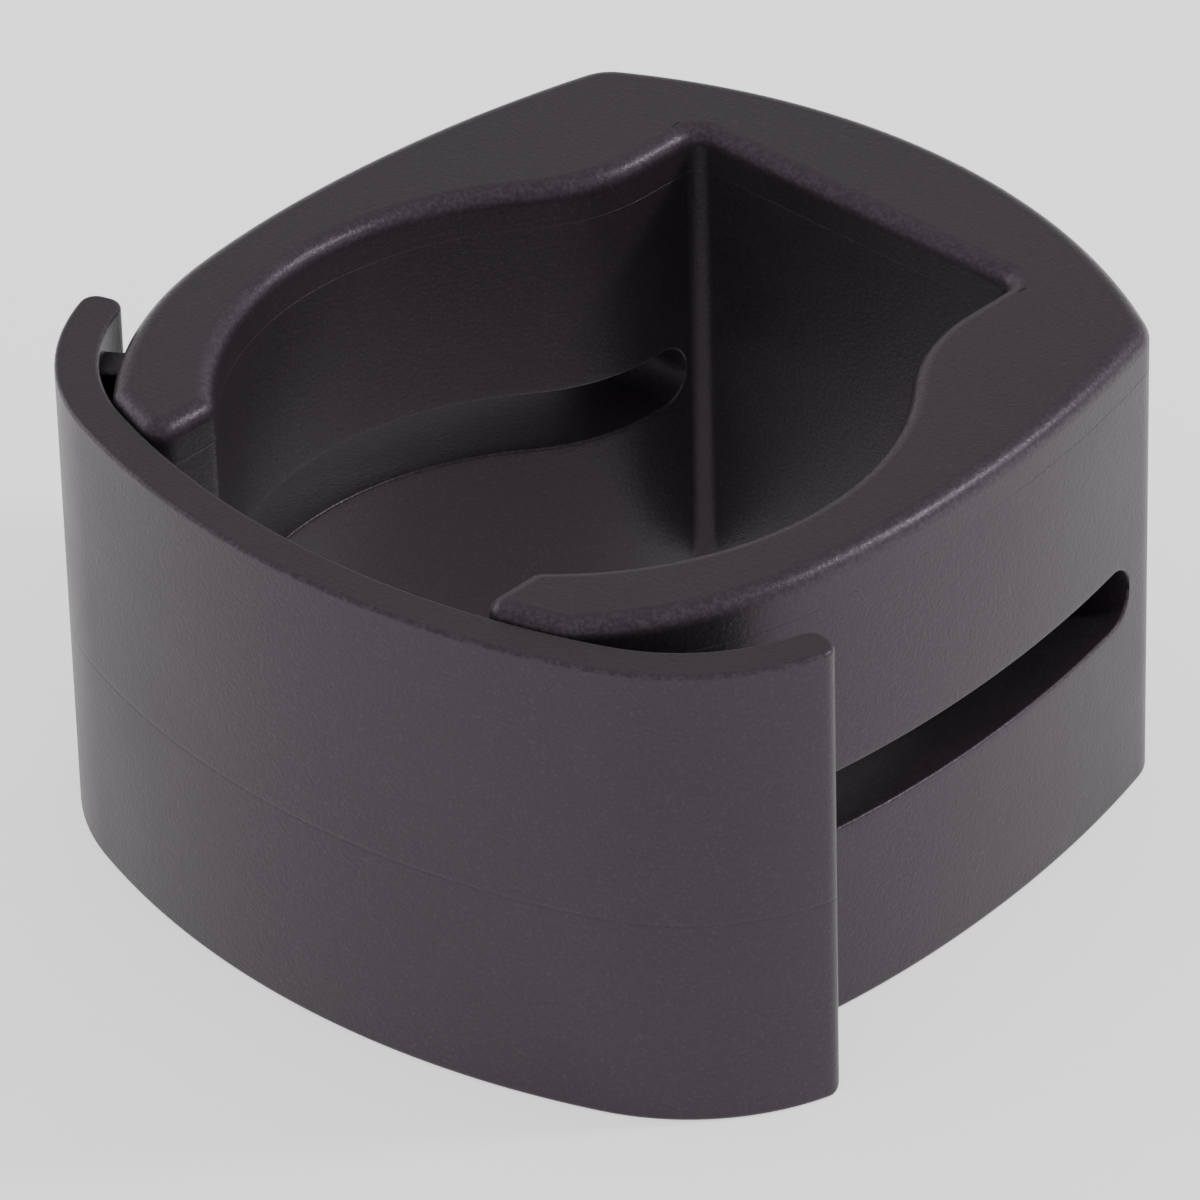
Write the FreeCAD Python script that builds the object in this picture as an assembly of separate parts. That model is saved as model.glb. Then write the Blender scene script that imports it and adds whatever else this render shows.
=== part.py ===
import FreeCAD, Part
import math
import os

# Tube collar with a keyhole socket and a slide-on front plate.
# Millimetres. The origin is on the tube's axis, level with the underside.
# +Z runs up the tube, -Y faces the front plate, and X = 0 is the collar's plane of symmetry.

# --- driving dimensions -------------------------------------------------------------
TUBE_D = 42.4             # outside diameter of the tube that the collar goes round
TUBE_GAP = 0.4            # room round the tube before the collar is tightened
HEIGHT = 33.6             # collar, underside to top
RIM_H = 3.0               # depth of the cap that closes the top of the collar
RIM_ROUND = 1.2           # rounded edges of the cap, inside and out
FOOT_ROUND = 0.4          # softened edges of the underside

PASSAGE_W = 27.4          # front throat and rear notch, one straight width
NOTCH_Y = 26.7            # flat back wall of the notch
NOTCH_ROUND = 1.2         # upright corners of the notch
NECK_ROUND = 12.8         # where the notch opens into the round socket
ARM_ROUND = 1.4           # upright corners of the two arm ends

HALF_W = 27.3             # widest half-width of the collar
WIDEST_Y = 4.2            # where that is
REAR_SIDE_R = 86.0        # bow of each side behind the widest place
FRONT_SIDE_R = 70.7       # bow of each side in front of it
SHOULDER_Y = -5.5         # where the side turns in more strongly
SHOULDER_R = 26.0         # bow of the shoulder down to the plate
BACK_R = 44.2             # bow of the back
BACK_APEX_Y = 35.3        # rearmost point
BACK_CORNER_R = 3.4       # upright back corners

SLOT_Z = 13.8             # bottom of the long slot through each side wall
SLOT_H = 4.2              # its height
SLOT_FRONT_Y = -14.0      # its front end, just behind the arm
SLOT_BACK_Y = 25.3        # its back end, just before the back corner

PLATE_H = 33.0            # front plate, underside to top
PLATE_T = 2.8             # its thickness
PLATE_R = 58.5            # bow of its outer face
PLATE_APEX_Y = -26.6      # foremost point of that face
PLATE_SWEEP = 21.1        # half-angle of the main bow, degrees
WING_R = 16.7             # outer face of each turned-back wing
WING_SWEEP = 54.1         # turn of each wing, degrees
TIP_ROUND = 1.1           # upright edges of the wing tips
TIP_FOOT_ROUND = 1.6      # lower corner of each wing tip, seen from the side
PLATE_TURN = 2.2          # how far the plate sits round its own bow, degrees
RIB_SWEEP = 55.8          # place of the stop rib inside each wing, degrees from the plate's middle
RIB_W = 2.6               # stop rib, measured along the wing
RIB_TOP = 31.4
RIB_END_R = 26.25         # hollow end of the rib, just clear of the collar's shoulder
RIB_END_X = 2.178         # centre of that hollow end, for the right wing
RIB_END_Y = -1.871
PLATE_EDGE_ROUND = 0.3    # softened edges of its underside and top
SLIDE_GAP = 0.15          # between the plate and the collar's arms

RAIL_X = 17.0             # centre of each T-shaped rail behind the plate
RAIL_NECK_W = 1.6         # web of the rail
RAIL_HEAD_W = 3.4         # head of the rail
RAIL_HEAD_D = 1.4         # head, front to back
RAIL_BACK_Y = -17.5       # back of the head
RAIL_PLAY = 0.1           # clearance all round the rail in its channel

SOCKET_R = TUBE_D / 2 + TUBE_GAP
PLATE_CENTRE_Y = PLATE_APEX_Y + PLATE_R
BODY_H = HEIGHT - RIM_H
RAIL_H = BODY_H - RAIL_PLAY
FRONT_REACH = 40.0        # past everything at the front, for trimming
EDGE_TOL = 0.05           # how near an edge must lie to a named place


def point(x, y, z=0.0):
    return FreeCAD.Vector(x, y, z)


def box(x0, x1, y0, y1, z0, z1):
    return Part.makeBox(x1 - x0, y1 - y0, z1 - z0, point(x0, y0, z0))


def cylinder(radius, x, y, z0, z1):
    return Part.makeCylinder(radius, z1 - z0, point(x, y, z0))


def polar(x, y, radius, degrees):
    """Point on a circle about (x, y); degrees from +X towards +Y."""
    turn = math.radians(degrees)
    return point(x + radius * math.cos(turn), y + radius * math.sin(turn))


def arc(x, y, radius, start, end):
    """Arc about (x, y) from one angle to another, through the middle angle."""
    ends = [polar(x, y, radius, a) for a in (start, (start + end) / 2, end)]
    return Part.Arc(*ends).toShape()


def prism(edges, z0, z1):
    """Solid over a closed outline."""
    wire = Part.Wire(Part.__sortEdges__(edges))
    face = Part.Face(wire)
    face.translate(point(0, 0, z0))
    return face.extrude(point(0, 0, z1 - z0))


def with_mirror(edges):
    """An outline's right half and its mirror image across X = 0."""
    return edges + [e.mirror(point(0, 0), point(1, 0)) for e in edges]


def upright_edges(solid, x, y):
    """Vertical edges at +-x, y."""
    found = []
    for edge in solid.Edges:
        ends = [v.Point for v in edge.Vertexes]
        upright = len(ends) == 2 and (ends[0] - ends[1]).cross(point(0, 0, 1)).Length < EDGE_TOL
        if upright and abs(abs(ends[0].x) - x) < EDGE_TOL and abs(ends[0].y - y) < EDGE_TOL:
            found.append(edge)
    return found


def level_edges(solid, z):
    """Edges that lie in the plane at height z."""
    return [e for e in solid.Edges
            if abs(e.BoundBox.ZMin - z) < EDGE_TOL and abs(e.BoundBox.ZMax - z) < EDGE_TOL]


def circles_meet(x0, y0, r0, x1, y1, r1):
    """The meeting point of two circles that has the larger x and y."""
    gap = math.hypot(x1 - x0, y1 - y0)
    along = (r0 ** 2 - r1 ** 2 + gap ** 2) / (2 * gap)
    across = math.sqrt(r0 ** 2 - along ** 2)
    ux, uy = (x1 - x0) / gap, (y1 - y0) / gap
    spots = [(x0 + along * ux - s * across * uy, y0 + along * uy + s * across * ux) for s in (1, -1)]
    return max(spots, key=sum)


def angle_of(x, y, spot):
    return math.degrees(math.atan2(spot[1] - y, spot[0] - x))


def collar_outline():
    """Outer edge of the collar: bowed back, bowed sides and tighter shoulders."""
    back_y = BACK_APEX_Y - BACK_R
    rear_x = HALF_W - REAR_SIDE_R
    front_x = HALF_W - FRONT_SIDE_R
    corner = circles_meet(0, back_y, BACK_R, rear_x, WIDEST_Y, REAR_SIDE_R)
    shoulder = math.degrees(math.asin((SHOULDER_Y - WIDEST_Y) / FRONT_SIDE_R))
    start = polar(front_x, WIDEST_Y, FRONT_SIDE_R, shoulder)
    centre = polar(start.x, start.y, SHOULDER_R, shoulder + 180)
    nose = polar(centre.x, centre.y, SHOULDER_R, -60)
    half = [
        arc(0, back_y, BACK_R, 90, angle_of(0, back_y, corner)),
        arc(rear_x, WIDEST_Y, REAR_SIDE_R, angle_of(rear_x, WIDEST_Y, corner), 0),
        arc(front_x, WIDEST_Y, FRONT_SIDE_R, 0, shoulder),
        arc(centre.x, centre.y, SHOULDER_R, shoulder, -60),
        Part.LineSegment(nose, point(0, nose.y)).toShape(),
    ]
    return with_mirror(half), corner, centre


def shoulder_meets_plate(centre):
    """Where the shoulder runs into the arc that the arms share with the plate."""
    radius = PLATE_R - PLATE_T - SLIDE_GAP
    low, high = -60.0, -20.0
    for _ in range(60):
        middle = (low + high) / 2
        spot = polar(centre.x, centre.y, SHOULDER_R, middle)
        if math.hypot(spot.x, spot.y - PLATE_CENTRE_Y) > radius:
            low = middle
        else:
            high = middle
    return spot


def collar_plan(z0, z1):
    """The collar's cross-section as a solid: outline less socket, notch and throat."""
    edges, corner, centre = collar_outline()
    solid = prism(edges, z0, z1)
    arm_face = PLATE_R - PLATE_T - SLIDE_GAP
    solid = solid.common(cylinder(arm_face, 0, PLATE_CENTRE_Y, z0, z1))
    solid = solid.cut(cylinder(SOCKET_R, 0, 0, z0, z1))
    half = PASSAGE_W / 2
    solid = solid.cut(box(-half, half, -FRONT_REACH, NOTCH_Y, z0, z1))

    nose = shoulder_meets_plate(centre)
    neck_y = math.sqrt(SOCKET_R ** 2 - half ** 2)
    arm_y = PLATE_CENTRE_Y - math.sqrt(arm_face ** 2 - half ** 2)
    rounds = [
        (BACK_CORNER_R, corner[0], corner[1]),
        (NOTCH_ROUND, half, NOTCH_Y),
        (NECK_ROUND, half, neck_y),
        (ARM_ROUND, half, -neck_y),
        (ARM_ROUND, half, arm_y),
        (ARM_ROUND, nose.x, nose.y),
    ]
    for radius, x, y in rounds:
        solid = solid.makeFillet(radius, upright_edges(solid, x, y))
    return solid


def side_slots():
    """Long slot through both side walls, round at its two ends."""
    half = SLOT_H / 2
    middle = SLOT_Z + half
    reach = HALF_W + 5
    inner = PASSAGE_W / 2 - 1
    cutters = []
    for side in (-1, 1):
        x0, x1 = sorted((side * inner, side * reach))
        cutter = box(x0, x1, SLOT_FRONT_Y + half, SLOT_BACK_Y - half, SLOT_Z, SLOT_Z + SLOT_H)
        for y in (SLOT_FRONT_Y + half, SLOT_BACK_Y - half):
            end = Part.makeCylinder(half, x1 - x0, point(x0, y, middle), point(1, 0, 0))
            cutter = cutter.fuse(end)
        cutters.append(cutter.removeSplitter())
    return cutters


def rail(play, z0, z1, front_y):
    """T-shaped bar, or its channel when play is not zero; both sides."""
    neck = RAIL_NECK_W / 2 + play
    head = RAIL_HEAD_W / 2 + play
    head_front = RAIL_BACK_Y - RAIL_HEAD_D - play
    bars = []
    for x in (-RAIL_X, RAIL_X):
        bar = box(x - head, x + head, head_front, RAIL_BACK_Y + play, z0, z1)
        web = box(x - neck, x + neck, front_y, RAIL_BACK_Y, z0, z1)
        bars.append(bar.fuse(web).removeSplitter())
    return bars


def make_collar_body():
    solid = collar_plan(0, BODY_H)
    solid = solid.makeFillet(FOOT_ROUND, level_edges(solid, 0))
    for cutter in side_slots():
        solid = solid.cut(cutter)
    for channel in rail(RAIL_PLAY, -1, BODY_H + 1, -FRONT_REACH):
        solid = solid.cut(channel)
    return solid


def make_rim_cap():
    solid = collar_plan(BODY_H, HEIGHT)
    return solid.makeFillet(RIM_ROUND, level_edges(solid, HEIGHT))


def plate_side(outer):
    """One face of the plate, right half: main bow, then the wing's tighter bow."""
    inset = 0 if outer else PLATE_T
    joint = polar(0, PLATE_CENTRE_Y, PLATE_R, -90 + PLATE_SWEEP)
    wing = polar(joint.x, joint.y, WING_R, 90 + PLATE_SWEEP)
    start = -90 + PLATE_SWEEP
    end = start + WING_SWEEP
    edges = [
        arc(0, PLATE_CENTRE_Y, PLATE_R - inset, -90, start),
        arc(wing.x, wing.y, WING_R - inset, start, end),
    ]
    return edges, polar(wing.x, wing.y, WING_R - inset, end)


def tip_foot_cutter(tip_y):
    """What the rounded lower corner of both wing tips leaves out."""
    reach = HALF_W + WING_R
    start_y = tip_y - TIP_FOOT_ROUND
    corner = box(-reach, reach, start_y, tip_y + 1, -1, TIP_FOOT_ROUND)
    kept = Part.makeCylinder(TIP_FOOT_ROUND, 2 * reach, point(-reach, start_y, TIP_FOOT_ROUND), point(1, 0, 0))
    return corner.cut(kept)


def stop_rib(side):
    """Short upright rib inside one wing; its hollow end stops just short of the collar's shoulder."""
    joint = polar(0, PLATE_CENTRE_Y, PLATE_R, -90 + PLATE_SWEEP)
    wing = polar(joint.x, joint.y, WING_R, 90 + PLATE_SWEEP)
    along = -90 + RIB_SWEEP
    inner_r, root_r = (WING_R - PLATE_T) - RIB_W, WING_R - PLATE_T / 2
    corners = []
    for radius, way in ((inner_r, 1), (root_r, 1), (root_r, -1), (inner_r, -1)):
        middle = polar(wing.x, wing.y, radius, along)
        spot = polar(middle.x, middle.y, RIB_W / 2, along + 90 * way)
        corners.append(point(side * spot.x, spot.y))
    outline = Part.makePolygon(corners + corners[:1])
    rib = Part.Face(Part.Wire(outline.Edges)).extrude(point(0, 0, RIB_TOP))
    shoulder = Part.makeCylinder(RIB_END_R, RIB_TOP + 2, point(side * RIB_END_X, RIB_END_Y, -1))
    return rib.cut(shoulder)


def make_front_plate():
    outer, outer_tip = plate_side(True)
    inner, inner_tip = plate_side(False)
    tip = Part.LineSegment(outer_tip, inner_tip).toShape()
    solid = prism(with_mirror(outer + inner + [tip]), 0, PLATE_H)
    for spot in (outer_tip, inner_tip):
        solid = solid.makeFillet(TIP_ROUND, upright_edges(solid, spot.x, spot.y))
    for z in (0, PLATE_H):
        solid = solid.makeFillet(PLATE_EDGE_ROUND, level_edges(solid, z))
    solid = solid.cut(tip_foot_cutter(max(v.Y for v in solid.Vertexes)))
    for side in (1, -1):
        solid = solid.fuse(stop_rib(side))
    solid.rotate(point(0, PLATE_CENTRE_Y), point(0, 0, 1), PLATE_TURN)
    web_front = PLATE_CENTRE_Y - math.sqrt((PLATE_R - PLATE_T / 2) ** 2 - RAIL_X ** 2)
    for bar in rail(0, 0, RAIL_H, web_front):
        solid = solid.fuse(bar)
    return solid.removeSplitter()


def write(name, solid):
    solids = solid.Solids
    if len(solids) != 1 or not solids[0].isValid():
        raise RuntimeError("%s: %d solids" % (name, len(solids)))
    solids[0].exportStep("parts/%s.step" % name)
    size = solids[0].optimalBoundingBox()
    print("%s: %.0f mm3, x %.2f to %.2f, y %.2f to %.2f, z %.2f to %.2f"
          % (name, solids[0].Volume, size.XMin, size.XMax, size.YMin, size.YMax, size.ZMin, size.ZMax))


os.makedirs("parts", exist_ok=True)
write("collar_body", make_collar_body())
write("rim_cap", make_rim_cap())
write("front_plate", make_front_plate())
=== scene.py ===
import logging
import math
from dataclasses import dataclass, field
from enum import Enum

import bmesh
import bpy
import numpy as np
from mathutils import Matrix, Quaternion, Vector


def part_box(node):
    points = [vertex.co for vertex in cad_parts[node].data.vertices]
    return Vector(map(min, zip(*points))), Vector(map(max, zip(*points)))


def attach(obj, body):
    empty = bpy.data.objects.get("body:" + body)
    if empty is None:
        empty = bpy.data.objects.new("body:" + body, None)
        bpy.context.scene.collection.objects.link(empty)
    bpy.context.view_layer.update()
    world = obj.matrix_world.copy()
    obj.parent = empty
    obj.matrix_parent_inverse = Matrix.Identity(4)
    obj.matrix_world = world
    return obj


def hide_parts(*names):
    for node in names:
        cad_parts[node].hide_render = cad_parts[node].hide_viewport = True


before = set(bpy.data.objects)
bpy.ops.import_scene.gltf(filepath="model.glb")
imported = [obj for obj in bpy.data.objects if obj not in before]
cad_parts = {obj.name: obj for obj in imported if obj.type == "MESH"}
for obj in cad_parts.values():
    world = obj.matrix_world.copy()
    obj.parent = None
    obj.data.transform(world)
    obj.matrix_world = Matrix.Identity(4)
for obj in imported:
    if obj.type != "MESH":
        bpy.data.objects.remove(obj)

# Tube collar with a keyhole socket, a rounded rim and a slide-on front plate.
# Plans and profiles are in millimetres; meshes are written in metres.

log = logging.getLogger("tube_collar")
MM = 0.001
WELD_MM = 0.0005          # points nearer than this are one point
CREASE_DEG = 35.0         # edges sharper than this shade as creases
QUARTER_STEPS = 7         # facets in a quarter turn of a small rounded edge
FLAT_RING = 0.04          # thin flat ring that ends a rounded edge cleanly
PLAN_STEP = 0.45          # spacing of points along large arcs
SENSOR_MM = 36.0          # width of the camera's sensor
BLACK = (0.020, 0.015, 0.020)
BLOOM = (0.033, 0.026, 0.033)


class Mirror(Enum):
    """The two halves of the object, by the sign of X."""

    RIGHT = 1.0
    LEFT = -1.0


@dataclass(frozen=True)
class Circle:
    """A circle in plan, in millimetres."""

    x: float
    y: float
    radius: float

    def at(self, degrees: float) -> tuple[float, float]:
        """Point at an angle from +X."""
        turn = math.radians(degrees)
        return self.x + self.radius * math.cos(turn), self.y + self.radius * math.sin(turn)

    def angle(self, spot: tuple[float, float]) -> float:
        """Angle in degrees from the centre towards a point."""
        return math.degrees(math.atan2(spot[1] - self.y, spot[0] - self.x))

    def right(self, y: np.ndarray) -> np.ndarray:
        """Larger x at each y: centre + sqrt(r^2 - dy^2)."""
        return self.x + np.sqrt(np.maximum(self.radius ** 2 - (y - self.y) ** 2, 0.0))

    def left(self, y: np.ndarray) -> np.ndarray:
        """Smaller x at each y: centre - sqrt(r^2 - dy^2)."""
        return 2 * self.x - self.right(y)

    def arc(self, start: float, end: float) -> np.ndarray:
        """Points at even angles from start to end.

        Args:
            start: first angle in degrees.
            end: last angle in degrees.

        Returns:
            Array of shape (n, 2), with both ends in it.
        """
        by_length = math.radians(abs(end - start)) * self.radius / PLAN_STEP
        by_turn = abs(end - start) / 90.0 * QUARTER_STEPS
        count = int(max(by_length, by_turn, 2)) + 2
        turn = np.radians(np.linspace(start, end, count))
        return np.stack([self.x + self.radius * np.cos(turn), self.y + self.radius * np.sin(turn)], axis=1)

    def arc_between(self, first: tuple[float, float], last: tuple[float, float]) -> np.ndarray:
        """Shorter arc from beside one point to beside another."""
        start, end = self.angle(first), self.angle(last)
        return self.arc(start, start + (end - start + 180.0) % 360.0 - 180.0)

    def meet(self, other: "Circle") -> tuple[float, float]:
        """Where two circles cross, at the larger x.

        Args:
            other: the second circle.

        Returns:
            The crossing as (x, y).
        """
        gap = math.hypot(other.x - self.x, other.y - self.y)
        along = (self.radius ** 2 - other.radius ** 2 + gap ** 2) / (2 * gap)
        across = math.sqrt(self.radius ** 2 - along ** 2)
        ux, uy = (other.x - self.x) / gap, (other.y - self.y) / gap
        return max((self.x + along * ux - s * across * uy, self.y + along * uy + s * across * ux)
                   for s in (1, -1))

    def grown(self, by: float) -> "Circle":
        """The same centre with a larger radius."""
        return Circle(self.x, self.y, self.radius + by)


def chain(*parts: np.ndarray) -> np.ndarray:
    """Stretches of points joined end to end, without the repeated joints."""
    points = np.concatenate(parts)
    step = np.hypot(*np.diff(points, axis=0).T)
    return points[np.concatenate([[True], step > WELD_MM])]


def inward(loop: np.ndarray) -> np.ndarray:
    """Mitred normals that point into a closed outline.

    With e1 and e2 the unit normals of the two edges at a corner, the mitre is (e1 + e2) / (1 + e1.e2),
    so moving every corner by d times its mitre moves every edge by d.

    Args:
        loop: outline of shape (n, 2).

    Returns:
        Array of shape (n, 2).
    """
    after = np.roll(loop, -1, axis=0) - loop
    after /= np.linalg.norm(after, axis=1, keepdims=True)
    area = np.sum(loop[:, 0] * np.roll(loop[:, 1], -1) - loop[:, 1] * np.roll(loop[:, 0], -1))
    normal = np.stack([-after[:, 1], after[:, 0]], axis=1) * np.sign(area)
    before = np.roll(normal, 1, axis=0)
    return (normal + before) / (1.0 + np.sum(normal * before, axis=1, keepdims=True))


def stacked(parts: list[np.ndarray], count: int) -> np.ndarray:
    """Rows stacked on each other, each widened to the same number of columns."""
    return np.concatenate([np.broadcast_to(part, (part.shape[0], count)) for part in parts])


def quarter() -> np.ndarray:
    """Angles through a quarter turn, in radians."""
    return np.linspace(0.0, math.pi / 2, QUARTER_STEPS + 1)


@dataclass
class Skin:
    """Collects grids of points and closes them into one mesh."""

    name: str
    points: list[np.ndarray] = field(default_factory=list)
    wear_and_sheen_levels: list[np.ndarray] = field(default_factory=list)
    faces: list[list[int]] = field(default_factory=list)
    size: int = 0

    def grid(self, points: np.ndarray, closed: bool, wear_and_sheen: np.ndarray | float = 0.0) -> int:
        """Adds a grid of points and the quads between them.

        Args:
            points: array of shape (rows, columns, 3), in millimetres.
            closed: join the last column to the first.
            wear_and_sheen: how much paler the edges are painted, partly for wear and partly as painted
                highlight, broadcast over the rows and columns.

        Returns:
            Index of the grid's first point.
        """
        rows, columns = points.shape[:2]
        first = self.size
        index = np.arange(rows * columns).reshape(rows, columns) + first
        right = np.roll(index, -1, axis=1)
        if not closed:
            index, right = index[:, :-1], right[:, :-1]
        quads = np.stack([index[:-1], right[:-1], right[1:], index[1:]], axis=-1).reshape(-1, 4)
        self.points.append(points.reshape(-1, 3))
        self.wear_and_sheen_levels.append(np.broadcast_to(wear_and_sheen, (rows, columns)).astype(float).ravel())
        self.faces.extend(quads.tolist())
        self.size += rows * columns
        return first

    def lid(self, first: int, count: int) -> None:
        """Adds one flat face over a closed row of points."""
        self.faces.append(list(range(first, first + count)))

    def wall(self, loop: np.ndarray, depth: np.ndarray, height: np.ndarray,
             wear_and_sheen: np.ndarray | float = 0.0) -> int:
        """Adds the wall over a closed outline: outline + depth * inward normal, at height.

        Args:
            loop: outline of shape (n, 2).
            depth: inset of each row, shape (rows, n) or (rows, 1).
            height: z of each row, the same.
            wear_and_sheen: how much paler each row is painted, partly for wear and partly as painted
                highlight, the same.

        Returns:
            Index of the first point.
        """
        shape = (depth.shape[0], len(loop))
        inset = np.broadcast_to(depth, shape)[..., None]
        plan = loop[None] + inset * inward(loop)[None]
        up = np.broadcast_to(height, shape)[..., None]
        return self.grid(np.concatenate([plan, up], axis=2), closed=True, wear_and_sheen=wear_and_sheen)

    def prism(self, loop: np.ndarray, low: float, high: float, low_round: float,
              high_round: float) -> None:
        """Adds a closed upright body with rounded lower and upper edges.

        A rounded edge runs as depth = r (1 - sin a), height = r (1 - cos a) over a quarter turn.

        Args:
            loop: outline of shape (n, 2).
            low: height of the underside.
            high: height of the top.
            low_round: radius of the lower edge.
            high_round: radius of the upper edge.
        """
        turn = quarter()
        low_depth, low_z = low_round * (1 - np.sin(turn)), low + low_round * (1 - np.cos(turn))
        high_depth, high_z = high_round * (1 - np.sin(turn)), high - high_round * (1 - np.cos(turn))
        wall_z = np.array([low_z[-1] + FLAT_RING, high_z[-1] - FLAT_RING])
        depth = np.concatenate([[low_round + FLAT_RING], low_depth, 0 * wall_z, high_depth[::-1],
                                [high_round + FLAT_RING]])
        height = np.concatenate([[low], low_z, wall_z, high_z[::-1], [high]])
        # Rounded edges are painted paler, most at the middle of the turn where the highlight falls: partly
        # wear, partly painted highlight.
        shine = np.sin(2 * turn)
        wear_and_sheen = np.concatenate([[0.0], shine, 0 * wall_z, shine[::-1], [0.0]])
        first = self.wall(loop, depth[:, None], height[:, None], wear_and_sheen[:, None])
        self.lid(first, len(loop))
        self.lid(first + (len(depth) - 1) * len(loop), len(loop))

    def finish(self) -> bpy.types.Object:
        """Welds the grids, turns the faces outwards and makes the object."""
        mesh = bpy.data.meshes.new(self.name)
        mesh.from_pydata(np.concatenate(self.points) * MM, [], self.faces)
        # Each point's level of paler edge paint, partly wear and partly painted highlight.
        wear_and_sheen = mesh.attributes.new("wear_and_sheen", "FLOAT", "POINT")
        wear_and_sheen.data.foreach_set("value", np.concatenate(self.wear_and_sheen_levels))
        work = bmesh.new()
        work.from_mesh(mesh)
        bmesh.ops.remove_doubles(work, verts=work.verts, dist=WELD_MM * MM)
        bmesh.ops.dissolve_degenerate(work, edges=work.edges, dist=WELD_MM * MM)
        bmesh.ops.recalc_face_normals(work, faces=work.faces)
        open_edges = sum(1 for edge in work.edges if not edge.is_manifold)
        work.to_mesh(mesh)
        work.free()
        mesh.shade_smooth()
        mesh.set_sharp_from_angle(angle=math.radians(CREASE_DEG))
        piece = bpy.data.objects.new(self.name, mesh)
        bpy.context.scene.collection.objects.link(piece)
        log.info("%s: %d faces, %d open edges", self.name, len(mesh.polygons), open_edges)
        return piece


@dataclass(frozen=True)
class MouldedPlastic:
    """Matt moulded plastic with a spark-eroded grain and slightly polished edges, painted paler partly as
    wear and partly as highlight.

    Attributes:
        name: name of the material.
        colour: linear base colour.
        bloom: linear colour of the paler, dustier patches.
        roughness: roughness of the open faces.
        grain_mm: size of one grain.
        grain_depth_mm: height of the grain.
        seed: shifts the pattern, so that two mouldings differ.
        tint: colour of the sheen.
        sheen: level of the sheen, where 0.5 is the plain one.
        ior: index of refraction.
        cloud_mm: size of the paler patches.
        cloud_depth_mm: how far the faces wave over those patches.
        glint_share: how much the pale specks stand out; they are partly dust and partly painted glints of
            light.
        edge_wear_and_sheen_share: how much paler the edges are painted, partly for wear and partly as
            painted highlight.
        edge_polish: how much smoother the rubbed edges are.
    """

    name: str
    colour: tuple[float, float, float]
    bloom: tuple[float, float, float]
    roughness: float = 0.40
    grain_mm: float = 0.30
    grain_depth_mm: float = 0.030
    seed: float = 0.0
    tint: tuple[float, float, float] = (1.0, 0.84, 0.98)
    sheen: float = 0.34
    ior: float = 1.50
    cloud_mm: float = 14.0
    cloud_depth_mm: float = 0.05
    glint_share: float = 0.18
    edge_wear_and_sheen_share: float = 0.6
    edge_polish: float = 0.12

    def build(self) -> bpy.types.Material:
        """Makes the node tree."""
        material = bpy.data.materials.new(self.name)
        material.use_nodes = True
        nodes, links = material.node_tree.nodes, material.node_tree.links
        shader = nodes["Principled BSDF"]
        shader.inputs["Specular IOR Level"].default_value = self.sheen
        shader.inputs["IOR"].default_value = self.ior
        shader.inputs["Specular Tint"].default_value = (*self.tint, 1.0)
        place = nodes.new("ShaderNodeMapping")
        place.inputs["Location"].default_value = (self.seed, 0.7 * self.seed, 0.3 * self.seed)
        links.new(nodes.new("ShaderNodeTexCoord").outputs["Object"], place.inputs["Vector"])

        def noise(size_mm: float, detail: float, rough: float) -> bpy.types.NodeSocket:
            """A noise pattern whose features are about size_mm across."""
            node = nodes.new("ShaderNodeTexNoise")
            node.inputs["Scale"].default_value = 1.0 / (size_mm * MM)
            node.inputs["Detail"].default_value = detail
            node.inputs["Roughness"].default_value = rough
            links.new(place.outputs["Vector"], node.inputs["Vector"])
            return node.outputs["Fac"]

        def ranged(value: bpy.types.NodeSocket, low: float, high: float, to_low: float,
                   to_high: float) -> bpy.types.NodeSocket:
            """A value moved from one range to another and held inside it."""
            node = nodes.new("ShaderNodeMapRange")
            keys = ("From Min", "From Max", "To Min", "To Max")
            for key, number in zip(keys, (low, high, to_low, to_high)):
                node.inputs[key].default_value = number
            links.new(value, node.inputs["Value"])
            return node.outputs["Result"]

        def maths(kind: str, first: bpy.types.NodeSocket,
                  second: bpy.types.NodeSocket | float) -> bpy.types.NodeSocket:
            """Two values combined by one operation."""
            node = nodes.new("ShaderNodeMath")
            node.operation = kind
            links.new(first, node.inputs[0])
            if isinstance(second, bpy.types.NodeSocket):
                links.new(second, node.inputs[1])
            else:
                node.inputs[1].default_value = second
            return node.outputs[0]

        def mixed(amount: bpy.types.NodeSocket, base: bpy.types.NodeSocket | tuple,
                  top: tuple[float, float, float]) -> bpy.types.NodeSocket:
            """One colour laid over another by an amount."""
            node = nodes.new("ShaderNodeMix")
            node.data_type = "RGBA"
            links.new(amount, node.inputs["Factor"])
            if isinstance(base, bpy.types.NodeSocket):
                links.new(base, node.inputs[6])
            else:
                node.inputs[6].default_value = (*base, 1.0)
            node.inputs[7].default_value = (*top, 1.0)
            return node.outputs[2]

        def bump(height: bpy.types.NodeSocket, depth_mm: float,
                 under: bpy.types.NodeSocket | None) -> bpy.types.NodeSocket:
            """Relief of a real depth on top of any relief beneath it."""
            node = nodes.new("ShaderNodeBump")
            node.inputs["Strength"].default_value = 1.0
            node.inputs["Distance"].default_value = depth_mm * MM
            links.new(height, node.inputs["Height"])
            if under is not None:
                links.new(under, node.inputs["Normal"])
            return node.outputs["Normal"]

        # Attribute marking the edges painted paler, partly as wear and partly as painted highlight.
        wear_and_sheen = nodes.new("ShaderNodeAttribute")
        wear_and_sheen.attribute_name = "wear_and_sheen"
        grain = noise(self.grain_mm, 3.0, 0.62)
        fine = noise(self.grain_mm * 0.4, 2.0, 0.5)
        cloud = noise(self.cloud_mm, 4.0, 0.6)
        speck = noise(self.grain_mm * 0.8, 1.0, 0.4)

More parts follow.
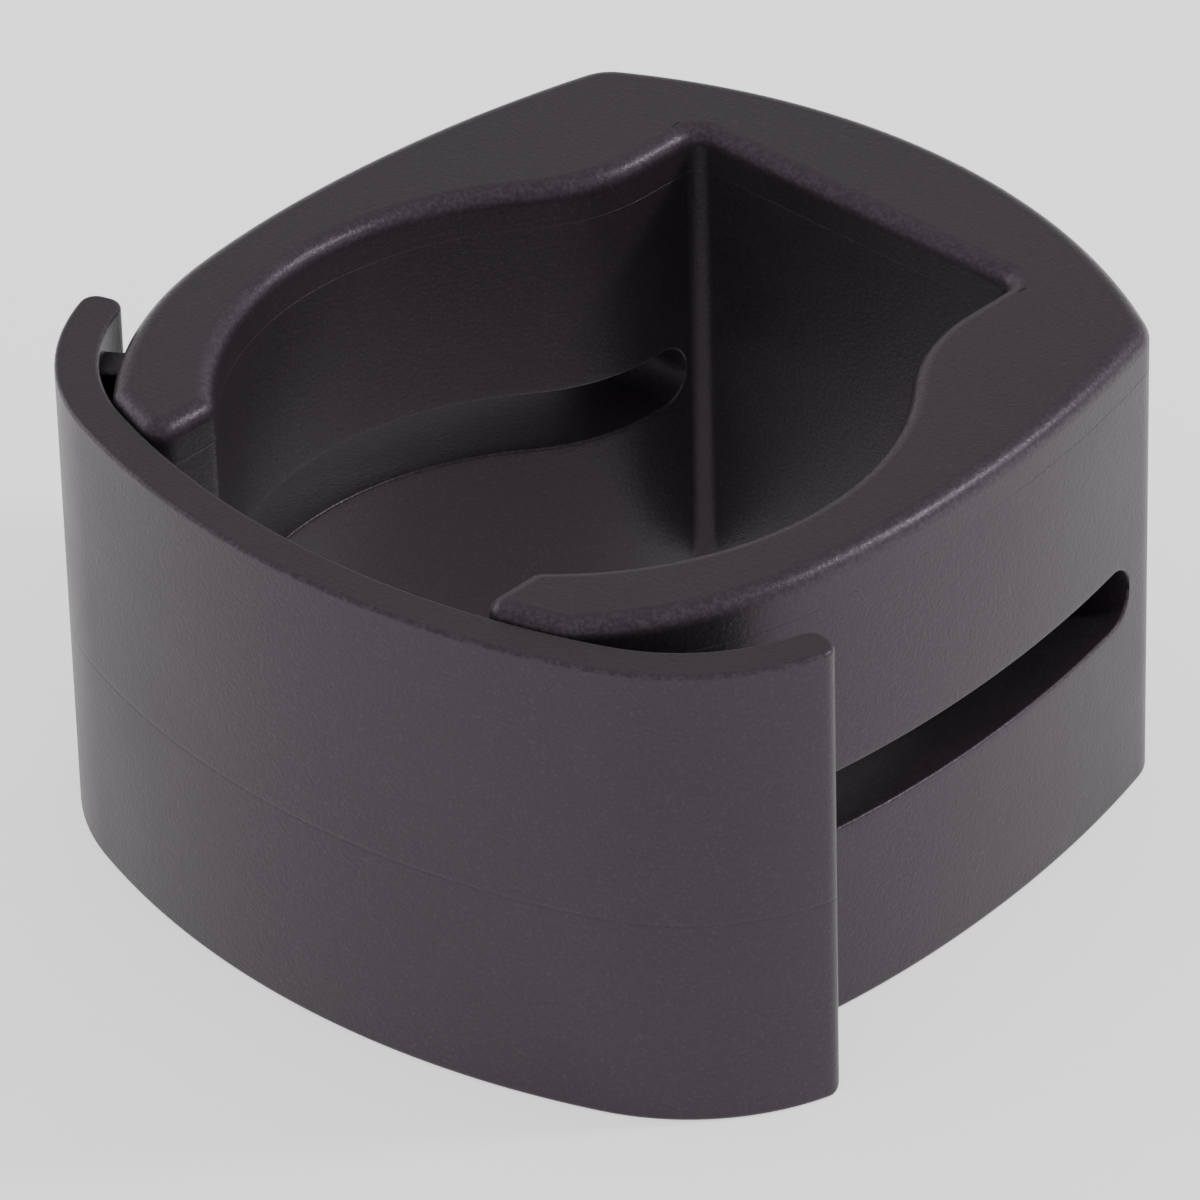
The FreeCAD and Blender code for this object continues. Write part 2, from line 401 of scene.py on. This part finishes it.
        # Pale specks over the grain: partly dust, partly painted glints of light.
        glint = ranged(speck, 0.56, 0.70, 0.0, 1.0)
        edge = maths("MULTIPLY", wear_and_sheen.outputs["Fac"], ranged(grain, 0.42, 0.62, 0.25, 1.0))
        patch = ranged(cloud, 0.35, 0.75, 0.0, 0.45)
        colour = mixed(patch, self.colour, self.bloom)
        glints = maths("MULTIPLY", glint, self.glint_share)
        colour = mixed(glints, colour, tuple(2.2 * c for c in self.bloom))
        # Edges painted paler: partly wear, partly a painted highlight along the rounded edges.
        edges = maths("MULTIPLY", edge, self.edge_wear_and_sheen_share)
        colour = mixed(edges, colour, tuple(2.6 * c for c in self.bloom))
        links.new(colour, shader.inputs["Base Color"])

        rough = ranged(cloud, 0.3, 0.7, self.roughness - 0.04, self.roughness + 0.05)
        rough = maths("SUBTRACT", rough, maths("MULTIPLY", edge, self.edge_polish))
        links.new(rough, shader.inputs["Roughness"])

        relief = bump(cloud, self.cloud_depth_mm, None)
        relief = bump(grain, self.grain_depth_mm, relief)
        relief = bump(fine, self.grain_depth_mm * 0.35, relief)
        links.new(relief, shader.inputs["Normal"])
        return material


@dataclass(frozen=True)
class RailShape:
    """A T in plan: the rail behind the plate, or with play its channel in the arm."""

    x: float = 17.0
    neck_w: float = 1.6
    head_w: float = 3.4
    head_d: float = 1.4
    back_y: float = -17.5
    play: float = 0.0

    def outline(self, face: Circle) -> np.ndarray:
        """The T from its mouth on a bowed face and back, from the outer side to the inner side."""
        neck, head = self.neck_w / 2 + self.play, self.head_w / 2 + self.play
        front, back = self.back_y - self.head_d - self.play, self.back_y + self.play
        mouth = [face.y - math.sqrt(face.radius ** 2 - (self.x + s * neck) ** 2) for s in (1, -1)]
        return np.array([
            (self.x + neck, mouth[0]), (self.x + neck, front), (self.x + head, front),
            (self.x + head, back), (self.x - head, back), (self.x - head, front),
            (self.x - neck, front), (self.x - neck, mouth[1])])


@dataclass
class Collar:
    """The C-shaped collar: main moulding with side slots and rail channels, and its rim cap.

    All fields are millimetres in plan, with the tube's axis at the origin and the front towards -Y.
    """

    finish: MouldedPlastic
    rim_finish: MouldedPlastic
    channel: RailShape
    socket_r: float = 21.6
    passage_w: float = 27.4
    notch_y: float = 26.7
    notch_round: float = 1.2
    neck_round: float = 12.8
    arm_round: float = 1.4
    half_w: float = 27.3
    widest_y: float = 4.2
    rear_side_r: float = 86.0
    front_side_r: float = 70.7
    shoulder_y: float = -5.5
    shoulder_r: float = 26.0
    back_r: float = 44.2
    back_corner_r: float = 3.4
    arm_face: Circle = Circle(0.0, 31.9, 55.55)
    slot_z: float = 13.8
    slot_h: float = 4.2
    slot_front_y: float = -14.0
    slot_back_y: float = 25.3
    slot_edge: float = 0.22
    foot_round: float = 0.4
    rim_round: float = 1.2
    joint_round: float = 0.035

    def __post_init__(self) -> None:
        """Takes the heights from the frame and works out the circles of the plan."""
        low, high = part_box("collar_body")
        cap_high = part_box("rim_cap")[1]
        self.body_z = high.z / MM
        self.top_z = cap_high.z / MM
        self.back = Circle(0.0, high.y / MM - self.back_r, self.back_r)
        self.rear = Circle(self.half_w - self.rear_side_r, self.widest_y, self.rear_side_r)
        self.front = Circle(self.half_w - self.front_side_r, self.widest_y, self.front_side_r)
        turn = math.degrees(math.asin((self.shoulder_y - self.widest_y) / self.front_side_r))
        start = self.front.at(turn)
        centre = Circle(*start, self.shoulder_r).at(turn + 180.0)
        self.shoulder = Circle(*centre, self.shoulder_r)
        self.socket = Circle(0.0, 0.0, self.socket_r)

        inset = -self.back_corner_r
        self.back_corner = Circle(*self.back.grown(inset).meet(self.rear.grown(inset)), self.back_corner_r)
        half = self.passage_w / 2
        neck_x = half + self.neck_round
        neck_y = math.sqrt((self.socket_r + self.neck_round) ** 2 - neck_x ** 2)
        self.neck = Circle(neck_x, neck_y, self.neck_round)
        arm_x = half + self.arm_round
        inner_y = -math.sqrt((self.socket_r + self.arm_round) ** 2 - arm_x ** 2)
        self.inner_corner = Circle(arm_x, inner_y, self.arm_round)
        face = self.arm_face.grown(-self.arm_round)
        throat_y = face.y - math.sqrt(face.radius ** 2 - arm_x ** 2)
        self.throat_corner = Circle(arm_x, throat_y, self.arm_round)
        self.nose = Circle(*self.shoulder.grown(-self.arm_round).meet(face), self.arm_round)
        self.notch_corner = Circle(half - self.notch_round, self.notch_y - self.notch_round,
                                   self.notch_round)

    def slot_rows(self) -> tuple[np.ndarray, np.ndarray]:
        """Stations along a side slot and its half-height there.

        The ends are half circles: y = end + r (1 - cos a), half-height = r sin a. Between them the
        half-height is r.

        Returns:
            y and half-height, from the front end to the back end.
        """
        r = self.slot_h / 2
        turn = np.linspace(0.0, math.pi / 2, 2 * QUARTER_STEPS)
        straight = np.arange(self.slot_front_y + r, self.slot_back_y - r, PLAN_STEP * 2)[1:-1]
        y = np.concatenate([self.slot_front_y + r * (1 - np.cos(turn)), straight,
                            (self.slot_back_y - r * (1 - np.cos(turn)))[::-1]])
        half = np.concatenate([r * np.sin(turn), np.full(len(straight), r), (r * np.sin(turn))[::-1]])
        return y, half

    def outside(self, y: np.ndarray) -> np.ndarray:
        """Half-width of the outside at each y, on whichever circle holds there."""
        corner_y = self.rear.at(self.rear.angle((self.back_corner.x, self.back_corner.y)))[1]
        return np.select([y > corner_y, y > self.widest_y, y > self.shoulder_y],
                         [self.back_corner.right(y), self.rear.right(y), self.front.right(y)],
                         self.shoulder.right(y))

    def inside(self, y: np.ndarray) -> np.ndarray:
        """Half-width of the socket, neck and notch at each y."""
        neck_y = self.neck.y * self.socket_r / (self.socket_r + self.neck_round)
        straight = np.full_like(y, self.passage_w / 2)
        return np.select([y > self.notch_corner.y, y > self.neck.y, y > neck_y],
                         [self.notch_corner.right(y), straight, self.neck.left(y)],
                         self.socket.right(y))

    def half_outline(self, with_channel: bool) -> tuple[np.ndarray, np.ndarray]:
        """Right half of the outline, from the back's middle round the arm to the notch's middle.

        Args:
            with_channel: cut the rail's channel into the arm's front face.

        Returns:
            Points of shape (n, 2) and the side slot's half-height at each.
        """
        y, half = self.slot_rows()
        outer = np.stack([self.outside(y), y], axis=1)[::-1]
        inner = np.stack([self.inside(y), y], axis=1)
        face = self.arm_face
        nose_face = face.at(face.angle((self.nose.x, self.nose.y)))
        nose_side = self.shoulder.at(self.shoulder.angle((self.nose.x, self.nose.y)))
        throat_face = face.at(face.angle((self.throat_corner.x, self.throat_corner.y)))
        back_end = self.back.at(self.back.angle((self.back_corner.x, self.back_corner.y)))
        side_end = self.rear.at(self.rear.angle((self.back_corner.x, self.back_corner.y)))
        socket_end = self.socket.at(self.socket.angle((self.inner_corner.x, self.inner_corner.y)))
        if with_channel:
            cut = self.channel.outline(face)
            arm = [face.arc_between(nose_face, cut[0]), cut, face.arc_between(cut[-1], throat_face)]
        else:
            arm = [face.arc_between(nose_face, throat_face)]
        before = [
            self.back.arc(90.0, self.back.angle(back_end)),
            self.back_corner.arc_between(back_end, side_end),
            self.rear.arc_between(side_end, tuple(outer[0])),
        ]
        between = [
            self.shoulder.arc_between(tuple(outer[-1]), nose_side),
            self.nose.arc_between(nose_side, nose_face),
            *arm,
            self.throat_corner.arc_between(throat_face, (self.passage_w / 2, self.throat_corner.y)),
            self.inner_corner.arc_between((self.passage_w / 2, self.inner_corner.y), socket_end),
            self.socket.arc_between(socket_end, tuple(inner[0])),
        ]
        after = [
            self.notch_corner.arc_between(tuple(inner[-1]), (self.notch_corner.x, self.notch_y)),
            np.linspace((self.notch_corner.x, self.notch_y), (0.0, self.notch_y), 12),
        ]
        points = chain(*before, outer, *between, inner, *after)
        slot = np.zeros(len(points))
        for run, heights in ((outer, half[::-1]), (inner, half)):
            nearest = np.argmin(np.hypot(*(points[:, None] - run[None]).transpose(2, 0, 1)), axis=0)
            slot[nearest] = heights
        return points, slot

    def outline(self, with_channel: bool) -> tuple[np.ndarray, np.ndarray]:
        """Whole outline: the right half, then its mirror image backwards.

        The face's own points close to a channel's mouth are left out, because the mouth's corners move
        past them when the outline is drawn in for the rounded foot.

        Args:
            with_channel: cut the rails' channels into the arms' front faces.

        Returns:
            Points of shape (n, 2) and the side slots' half-height at each.
        """
        points, slot = self.half_outline(with_channel)
        if with_channel:
            mouth = np.flatnonzero(np.diff(self.in_channel(points).astype(int)))
            mouth = points[[mouth[0], mouth[-1] + 1]]
            away = np.linalg.norm(points[:, None] - mouth[None], axis=2).min(axis=1)
            kept = (away < WELD_MM) | (away > 2 * self.foot_round) | self.in_channel(points)
            points, slot = points[kept], slot[kept]
        mirrored = (points * (-1.0, 1.0))[-2:0:-1]
        return np.concatenate([points, mirrored]), np.concatenate([slot, slot[-2:0:-1]])

    def in_channel(self, loop: np.ndarray) -> np.ndarray:
        """True at the outline's points inside a rail channel, whose edges stay sharp."""
        channel = self.channel
        front, back = channel.back_y - channel.head_d - channel.play, channel.back_y + channel.play
        aside = np.abs(np.abs(loop[:, 0]) - channel.x) <= channel.head_w / 2 + channel.play + WELD_MM
        return aside & (loop[:, 1] >= front - WELD_MM) & (loop[:, 1] <= back + WELD_MM)

    def block(self, skin: Skin, loop: np.ndarray, slot: np.ndarray, end_z: float,
              end_round: float) -> np.ndarray:
        """Adds the wall from one end of the body to the middle of the slots.

        Away from the slots the wall reaches their middle height. At a slot it stops at the slot's edge,
        which is rounded: depth = r (1 - cos a), height = edge - r (1 - sin a).

        Args:
            skin: the mesh being built.
            loop: the outline.
            slot: half-height of the slot at each point of the outline.
            end_z: height of this end, above or below the slots.
            end_round: radius of this end's edge.

        Returns:
            The wall's last row, of shape (n, 3), which is the mouth of the slots.
        """
        middle = self.slot_z + self.slot_h / 2
        way = math.copysign(1.0, middle - end_z)
        turn = quarter()[:, None]
        edge = np.minimum(self.slot_edge, slot)[None]
        stop = middle - way * (slot[None] + edge)
        near = end_z + way * (end_round + FLAT_RING)
        share = np.array([0.0, 0.5, 0.96])[:, None]
        keen = self.in_channel(loop)[None]
        depth = [(end_round + FLAT_RING) * ~keen, end_round * (1 - np.sin(turn)) * ~keen,
                 0 * share, edge * (1 - np.cos(turn))]
        height = [np.full((1, 1), end_z), end_z + way * end_round * (1 - np.cos(turn)),
                  near + share * (stop - near), stop + way * edge * np.sin(turn)]
        # Rounded foot, joint and slot edges are painted paler, most where the highlight falls: partly wear,
        # partly painted highlight.
        shine = np.sin(2 * turn)
        wear_and_sheen = [np.zeros((1, 1)), shine, 0 * share, shine * (edge > 0.5 * self.slot_edge)]
        depth_rows, height_rows, rub_rows = (stacked(rows, len(loop)) for rows in (depth, height, wear_and_sheen))
        first = skin.wall(loop, depth_rows, height_rows, rub_rows)
        skin.lid(first, len(loop))
        plan = loop + depth_rows[-1][:, None] * inward(loop)
        return np.concatenate([plan, height_rows[-1][:, None]], axis=1)

    def tunnels(self, skin: Skin, mouth: np.ndarray, slot: np.ndarray) -> None:
        """Adds one face of each slot, a straight sheet between the outer and the inner mouth.

        Args:
            skin: the mesh being built.
            mouth: the mouth row that block returned.
            slot: half-height of the slot at each point of the outline.
        """
        count = len(self.slot_rows()[0])
        starts = np.flatnonzero((slot[1:] > 0) & (slot[:-1] <= 0))
        outer_r, inner_r, inner_l, outer_l = (mouth[s:s + count] for s in starts)
        for outer, inner in ((outer_r, inner_r[::-1]), (outer_l, inner_l[::-1])):
            share = np.linspace(0.0, 1.0, 7)[:, None, None]
            skin.grid(outer[None] * (1 - share) + inner[None] * share, closed=False)

    def build_body(self) -> bpy.types.Object:
        """Main moulding: two blocks of wall that meet between the slots, and the slots' faces."""
        skin = Skin("collar_body_skin")
        loop, slot = self.outline(with_channel=True)
        for end_z, end_round in ((0.0, self.foot_round), (self.body_z, self.joint_round)):
            mouth = self.block(skin, loop, slot, end_z, end_round)
            self.tunnels(skin, mouth, slot)
        return skin.finish()

    def build_cap(self) -> bpy.types.Object:
        """Rim cap: the same outline with a well rounded top edge inside and out."""
        skin = Skin("rim_cap_skin")
        loop, _ = self.outline(with_channel=False)
        skin.prism(loop, self.body_z, self.top_z, self.joint_round, self.rim_round)
        return skin.finish()

    def build(self) -> list[bpy.types.Object]:
        """Builds and dresses the collar's two pieces."""
        pieces = []
        for make, finish, slot_name, node in (
                (self.build_body, self.finish, "collar_plastic", "collar_body"),
                (self.build_cap, self.rim_finish, "rim_plastic", "rim_cap")):
            piece = make()
            piece.data.materials.append(finish.build())
            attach(piece, "collar")
            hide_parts(node)
            pieces.append(piece)
        return pieces


@dataclass
class FrontPlate:
    """The bowed front plate with its turned-back wings, stop ribs and the two rails behind it."""

    finish: MouldedPlastic
    rail: RailShape
    thickness: float = 2.8
    bow_r: float = 58.5
    bow_sweep: float = 21.1
    wing_r: float = 16.7
    wing_sweep: float = 54.1
    seat_turn: float = 2.2
    rib_sweep: float = 55.8
    rib_w: float = 2.6
    rib_top: float = 31.4
    rib_round: float = 0.3
    rib_end: Circle = Circle(2.178, -1.871, 26.25)
    tip_round: float = 1.1
    tip_foot_round: float = 1.6
    edge_round: float = 0.3
    rail_edge: float = 0.12
    rail_short: float = 0.1
    seam_share: float = 0.448
    seam_width: float = 0.16
    seam_depth: float = 0.02

    def __post_init__(self) -> None:
        """Takes the plate's place and height from the frame."""
        low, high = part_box("front_plate")
        self.height = high.z / MM
        self.bow = Circle(0.0, low.y / MM + self.bow_r, self.bow_r)
        joint = self.bow.at(-90.0 + self.bow_sweep)
        self.wing = Circle(*Circle(*joint, self.wing_r).at(90.0 + self.bow_sweep), self.wing_r)
        self.tip_angle = -90.0 + self.bow_sweep + self.wing_sweep

    def face(self, inset: float) -> np.ndarray:
        """Right half of one face, from the middle to the end of the wing.

        The bow and the wing are arcs of the same angles on both faces. The tip's corner is an arc that
        touches the wing and the straight end: its centre is at radius R from the wing's centre, and
        asin(r / R) short of the end.

        Args:
            inset: 0 for the outer face, the thickness for the inner one.

        Returns:
            Points of shape (n, 2); both faces have the same n.
        """
        way = -1.0 if inset == 0 else 1.0
        wing = self.wing.grown(-inset)
        reach = wing.radius + way * self.tip_round
        short = math.degrees(math.asin(self.tip_round / reach))
        corner = Circle(*Circle(wing.x, wing.y, reach).at(self.tip_angle - short), self.tip_round)
        touch = self.tip_angle - short + (0.0 if inset == 0 else 180.0)
        start = -90.0 + self.bow_sweep
        counts = (60, 34, 8)
        spans = ((self.bow.grown(-inset), -90.0, start), (wing, start, self.tip_angle - short),
                 (corner, touch, self.tip_angle + 90.0))
        runs = []
        for count, (circle, first, last) in zip(counts, spans):
            turn = np.radians(np.linspace(first, last, count))
            runs.append(np.stack([circle.x + circle.radius * np.cos(turn),
                                  circle.y + circle.radius * np.sin(turn)], axis=1))
        return np.concatenate([runs[0], runs[1][1:], runs[2][1:]])

    def seated(self, plan: np.ndarray) -> np.ndarray:
        """Plan points turned about the bow's centre: each is carried round by the seat's angle."""
        turn = math.radians(self.seat_turn)
        spin = np.array([(math.cos(turn), math.sin(turn)), (-math.sin(turn), math.cos(turn))])
        centre = np.array([self.bow.x, self.bow.y])
        return (plan - centre) @ spin + centre

    def foot(self, y: np.ndarray, tip_y: float) -> np.ndarray:
        """Height of the lower edge: 0, and near the tips r - sqrt(r^2 - (y - start)^2)."""
        over = np.clip(y - (tip_y - self.tip_foot_round), 0.0, self.tip_foot_round)
        return self.tip_foot_round - np.sqrt(self.tip_foot_round ** 2 - over ** 2)

    def build_shell(self, skin: Skin) -> None:
        """Adds the plate: a wall round its outline and a strip over each end."""
        outer, inner = self.face(0.0), self.face(self.thickness)
        right = np.concatenate([outer, inner[::-1]])
        loop = np.concatenate([right, (right * (-1.0, 1.0))[-2:0:-1]])
        low = self.foot(loop[:, 1], loop[:, 1].max())[None]
        loop = self.seated(loop)
        turn = quarter()[:, None]
        r = self.edge_round
        seam = self.seam_share * self.height
        seam_rows = np.array([(-3, 0.0), (-1, 0.0), (0, self.seam_depth), (1, 0.0), (3, 0.0)])
        none, flat = np.zeros((1, 1)), np.full((1, 1), r + FLAT_RING)
        depth = [flat, r * (1 - np.sin(turn)), none, seam_rows[:, 1:],
                 none, (r * (1 - np.sin(turn)))[::-1], flat]
        height = [low, low + r * (1 - np.cos(turn)), low + r + FLAT_RING,
                  seam + seam_rows[:, :1] * self.seam_width / 2,
                  self.height - flat, self.height - (r * (1 - np.cos(turn)))[::-1],
                  none + self.height]
        # Rounded plate edges are painted paler, most where the highlight falls: partly wear, partly painted
        # highlight.
        shine = np.sin(2 * turn)
        wear_and_sheen = [none, shine, none, 0 * seam_rows[:, :1], none, shine[::-1], none]
        full = [stacked(rows, len(loop)) for rows in (depth, height, wear_and_sheen)]
        skin.wall(loop, *full)
        mitre = inward(loop)
        half = len(outer)
        for row in (0, -1):
            plan = loop + full[0][row][:, None] * mitre
            ring = np.concatenate([plan, full[1][row][:, None]], axis=1)
            for order in (np.arange(len(loop)), -np.arange(len(loop))):
                side = ring[order]
                skin.grid(np.stack([side[:half], side[half:2 * half][::-1]]), closed=False)

    def build_ribs(self, skin: Skin) -> None:
        """Adds a short upright stop rib inside each wing.

        The rib runs along a radius d of the wing, t mm to either side of it. Its end is hollow: with
        q = wing + t - end, the radius there is -q.d + sqrt((q.d)^2 - q.q + R^2), on a circle of radius R.
        """
        turn = math.radians(self.rib_sweep)
        along = np.array([math.sin(turn), -math.cos(turn)])
        across = np.array([math.cos(turn), math.sin(turn)])
        step = np.linspace(-self.rib_w / 2, self.rib_w / 2, 15)[:, None] * across
        middle = np.array([self.wing.x, self.wing.y])
        gap = middle + step - np.array([self.rib_end.x, self.rib_end.y])
        reach = gap @ along
        end = np.sqrt(reach ** 2 - (gap ** 2).sum(axis=1) + self.rib_end.radius ** 2) - reach
        root = np.full(2, self.wing.radius - self.thickness / 2)
        plan = np.concatenate([middle + step + end[:, None] * along,
                               middle + step[[-1, 0]] + root[:, None] * along])
        for side in Mirror:
            rib = self.seated(plan * (side.value, 1.0))
            skin.prism(rib, 0.0, self.rib_top, self.rail_edge, self.rib_round)

    def build_rails(self, skin: Skin) -> None:
        """Adds the two T-shaped rails, rooted inside the plate."""
        middle = self.bow.grown(-self.thickness / 2)
        shape = self.rail.outline(middle)
        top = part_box("collar_body")[1].z / MM - self.rail_short
        for side in Mirror:
            skin.prism(shape * (side.value, 1.0), 0.0, top, self.rail_edge, self.rail_edge)

    def build(self) -> bpy.types.Object:
        """Builds and dresses the plate."""
        skin = Skin("front_plate_skin")
        self.build_shell(skin)
        self.build_ribs(skin)
        self.build_rails(skin)
        piece = skin.finish()
        piece.data.materials.append(self.finish.build())
        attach(piece, "plate")
        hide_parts("front_plate")
        return piece


@dataclass
class Studio:
    """Pale floor, soft lights and the camera."""

    azimuth: float = 44.562
    elevation: float = 34.109
    roll: float = -1.504
    distance: float = 0.62268
    lens: float = 299.73
    aim: tuple[float, float, float] = (0.005082, -0.002400, 0.0200)
    light_aim: tuple[float, float, float] = (0.0, 0.0, 0.015)
    floor_size: float = 6.0
    floor_colour: tuple[float, float, float] = (0.88, 0.88, 0.88)
    floor_roughness: float = 0.9
    floor_glow: float = 0.88
    sky: float = 0.72

    def direction(self, azimuth: float, elevation: float) -> np.ndarray:
        """Unit vector from the object towards an azimuth and elevation."""
        a, e = math.radians(azimuth), math.radians(elevation)
        return np.array([math.sin(a) * math.cos(e), -math.cos(a) * math.cos(e), math.sin(e)])

    def point_at(self, thing: bpy.types.Object, place: np.ndarray, target: np.ndarray,
                 roll: float = 0.0) -> None:
        """Puts a camera or light at a place, turns its -Z towards a target, and rolls it by some degrees."""
        thing.location = place
        level = Vector(target - place).to_track_quat("-Z", "Y")
        thing.rotation_euler = (level @ Quaternion((0.0, 0.0, 1.0), math.radians(roll))).to_euler()
        bpy.context.scene.collection.objects.link(thing)

    def build_camera(self) -> None:
        """Camera on the long lens, rolled very slightly."""
        data = bpy.data.cameras.new("camera")
        data.lens = self.lens
        data.sensor_width = SENSOR_MM
        data.clip_end = 20.0
        camera = bpy.data.objects.new("camera", data)
        target = np.array(self.aim)
        place = target + self.distance * self.direction(self.azimuth, self.elevation)
        self.point_at(camera, place, target, self.roll)
        bpy.context.scene.camera = camera

    def build_light(self, name: str, azimuth: float, elevation: float, reach: float,
                    size: float, power: float) -> None:
        """One soft square light that faces the object."""
        data = bpy.data.lights.new(name, "AREA")
        data.size = size
        data.energy = power
        light = bpy.data.objects.new(name, data)
        target = np.array(self.light_aim)
        self.point_at(light, target + reach * self.direction(azimuth, elevation), target)

    def build_floor(self) -> None:
        """Flat pale floor under the object, a grid of four corners."""
        half = self.floor_size / 2
        corners = [(-half, -half, 0.0), (half, -half, 0.0), (half, half, 0.0), (-half, half, 0.0)]
        mesh = bpy.data.meshes.new("floor")
        mesh.from_pydata(corners, [], [(0, 1, 2, 3)])
        floor = bpy.data.objects.new("floor", mesh)
        bpy.context.scene.collection.objects.link(floor)
        material = bpy.data.materials.new("pale_floor")
        material.use_nodes = True
        shader = material.node_tree.nodes["Principled BSDF"]
        shader.inputs["Base Color"].default_value = (*self.floor_colour, 1.0)
        shader.inputs["Roughness"].default_value = self.floor_roughness
        shader.inputs["Emission Color"].default_value = (1.0, 1.0, 1.0, 1.0)
        shader.inputs["Emission Strength"].default_value = self.floor_glow
        mesh.materials.append(material)

    def build_sky(self) -> None:
        """Even pale surroundings."""
        world = bpy.context.scene.world or bpy.data.worlds.new("surroundings")
        bpy.context.scene.world = world
        world.use_nodes = True
        sky = world.node_tree.nodes["Background"]
        sky.inputs["Color"].default_value = (1.0, 1.0, 1.0, 1.0)
        sky.inputs["Strength"].default_value = self.sky

    def build(self) -> None:
        """Builds the whole studio."""
        self.build_camera()
        self.build_floor()
        self.build_sky()
        self.build_light("left_softbox", -75.0, 20.0, 0.9, 0.5, 1.2)
        self.build_light("right_softbox", 138.0, 36.0, 0.9, 0.10, 3.0)


def main() -> None:
    """Builds the studio and the pieces."""
    logging.basicConfig(level=logging.INFO, format="%(message)s")
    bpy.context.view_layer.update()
    Studio().build()
    body = MouldedPlastic("collar_plastic_looks", BLACK, BLOOM)
    rim = MouldedPlastic("rim_plastic_looks", BLACK, BLOOM, seed=0.21)
    plate = MouldedPlastic("plate_plastic_looks", BLACK, BLOOM, seed=0.43)
    channel = RailShape(play=0.1)
    for piece in Collar(finish=body, rim_finish=rim, channel=channel).build():
        log.info("built %s", piece.name)
    log.info("built %s", FrontPlate(finish=plate, rail=RailShape()).build().name)


if __name__ == "__main__":
    main()
